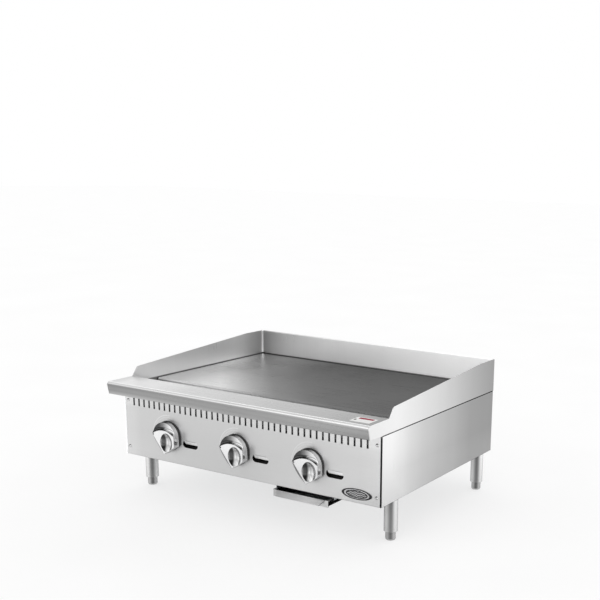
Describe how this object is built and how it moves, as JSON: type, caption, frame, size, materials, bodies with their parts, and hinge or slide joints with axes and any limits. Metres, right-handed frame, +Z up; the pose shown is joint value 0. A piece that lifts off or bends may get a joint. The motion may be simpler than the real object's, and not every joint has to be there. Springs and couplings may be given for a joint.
{
  "type": "countertop gas griddle",
  "caption": "Countertop gas griddle: smooth steel plate with sloping side splashes, bullnose shelf, pointer knobs, pull-out grease drawer and adjustable legs.",
  "frame": {"origin": "centre of the overall box in plan, at the level the feet stand on", "axes": "+Z up, +X to the cook's right, +Y to the rear (gas inlet side); the control panel faces -Y"},
  "size_m": [0.914, 0.756, 0.413],
  "materials": {
    "body_steel": "stainless sheet, fine grain",
    "splash_steel": "stainless sheet, fine grain",
    "plate_steel": "ground and polished carbon steel",
    "galvanised_sheet": "dull zinc-coated sheet",
    "frame_steel": "black heat-resistant paint",
    "trough_steel": "stainless sheet, mill finish",
    "cast_iron": "rough casting",
    "brass": "machined",
    "pilot_steel": "plain pressed steel",
    "knob_chrome": "bright plated casting",
    "stem_steel": "turned",
    "bezel_black": "moulded, satin",
    "leg_steel": "drawn tube, polished along its length",
    "foot_steel": "turned, satin",
    "fastener_steel": "bright zinc",
    "nameplate_black": "gloss black with bare raised rim",
    "label_white": "printed film"
  },
  "bodies": {
    "cabinet": {"base_channel_left": "galvanised_sheet", "base_channel_right": "galvanised_sheet", "bottom_pan": "galvanised_sheet", "burner_centre": "cast_iron", "burner_left": "cast_iron", "burner_rails": "galvanised_sheet", "burner_right": "cast_iron", "control_panel": "body_steel", "drawer_rail_left": "galvanised_sheet", "drawer_rail_right": "galvanised_sheet", "front_shelf": "splash_steel", "gas_inlet_pipe": "frame_steel", "gas_manifold": "frame_steel", "gas_valve_centre": "brass", "gas_valve_left": "brass", "gas_valve_right": "brass", "grease_chute": "galvanised_sheet", "grease_trough": "trough_steel", "griddle_plate": "plate_steel", "heat_shield": "galvanised_sheet", "knob_bezels": "bezel_black", "leg_nuts": "fastener_steel", "leg_sleeve_front_left": "leg_steel", "leg_sleeve_front_right": "leg_steel", "leg_sleeve_rear_left": "leg_steel", "leg_sleeve_rear_right": "leg_steel", "manifold_brackets": "galvanised_sheet", "manifold_plugs": "frame_steel", "nameplate": "nameplate_black", "orifices": "brass", "panel_brackets": "galvanised_sheet", "panel_screws": "fastener_steel", "pilot_burner_centre": "pilot_steel", "pilot_burner_left": "pilot_steel", "pilot_burner_right": "pilot_steel", "pilot_valves": "brass", "plate_frame": "frame_steel", "rear_panel": "body_steel", "rear_screws": "fastener_steel", "rear_splash": "splash_steel", "shelf_label": "label_white", "side_panel_left": "body_steel", "side_panel_right": "body_steel", "side_splash_left": "splash_steel", "side_splash_right": "splash_steel"},
    "control_left": {"knob_left": "knob_chrome", "valve_stem_left": "stem_steel"},
    "shutter_left": {"air_shutter_left": "pilot_steel"},
    "control_centre": {"knob_centre": "knob_chrome", "valve_stem_centre": "stem_steel"},
    "shutter_centre": {"air_shutter_centre": "pilot_steel"},
    "control_right": {"knob_right": "knob_chrome", "valve_stem_right": "stem_steel"},
    "shutter_right": {"air_shutter_right": "pilot_steel"},
    "drawer": {"grease_drawer": "trough_steel"},
    "foot_body_front_left": {"foot_front_left": "foot_steel"},
    "foot_body_front_right": {"foot_front_right": "foot_steel"},
    "foot_body_rear_left": {"foot_rear_left": "foot_steel"},
    "foot_body_rear_right": {"foot_rear_right": "foot_steel"}
  },
  "joints": [
    {"name": "knob_left_turn", "type": "hinge", "parent": "cabinet", "child": "control_left", "pos_m": [-0.283, -0.312, 0.199], "axis": [0, -1, 0], "range_deg": [-78, 102]},
    {"name": "knob_centre_turn", "type": "hinge", "parent": "cabinet", "child": "control_centre", "pos_m": [-0.0275, -0.312, 0.199], "axis": [0, -1, 0], "range_deg": [-78, 102]},
    {"name": "knob_right_turn", "type": "hinge", "parent": "cabinet", "child": "control_right", "pos_m": [0.228, -0.312, 0.199], "axis": [0, -1, 0], "range_deg": [-78, 102]},
    {"name": "air_shutter_left_turn", "type": "hinge", "parent": "cabinet", "child": "shutter_left", "pos_m": [-0.283, -0.216, 0.199], "axis": [0, 1, 0], "range_deg": [-35, 35]},
    {"name": "air_shutter_centre_turn", "type": "hinge", "parent": "cabinet", "child": "shutter_centre", "pos_m": [-0.0275, -0.216, 0.199], "axis": [0, 1, 0], "range_deg": [-35, 35]},
    {"name": "air_shutter_right_turn", "type": "hinge", "parent": "cabinet", "child": "shutter_right", "pos_m": [0.228, -0.216, 0.199], "axis": [0, 1, 0], "range_deg": [-35, 35]},
    {"name": "drawer_slide", "type": "slide", "parent": "cabinet", "child": "drawer", "axis": [0, -1, 0], "range_m": [0, 0.34]},
    {"name": "foot_front_left_adjust", "type": "slide", "parent": "cabinet", "child": "foot_body_front_left", "axis": [0, 0, -1], "range_m": [-0.018, 0.022], "stiffness_N_per_m": 200000},
    {"name": "foot_front_right_adjust", "type": "slide", "parent": "cabinet", "child": "foot_body_front_right", "axis": [0, 0, -1], "range_m": [-0.018, 0.022], "stiffness_N_per_m": 200000},
    {"name": "foot_rear_left_adjust", "type": "slide", "parent": "cabinet", "child": "foot_body_rear_left", "axis": [0, 0, -1], "range_m": [-0.018, 0.022], "stiffness_N_per_m": 200000},
    {"name": "foot_rear_right_adjust", "type": "slide", "parent": "cabinet", "child": "foot_body_rear_right", "axis": [0, 0, -1], "range_m": [-0.018, 0.022], "stiffness_N_per_m": 200000}
  ]
}
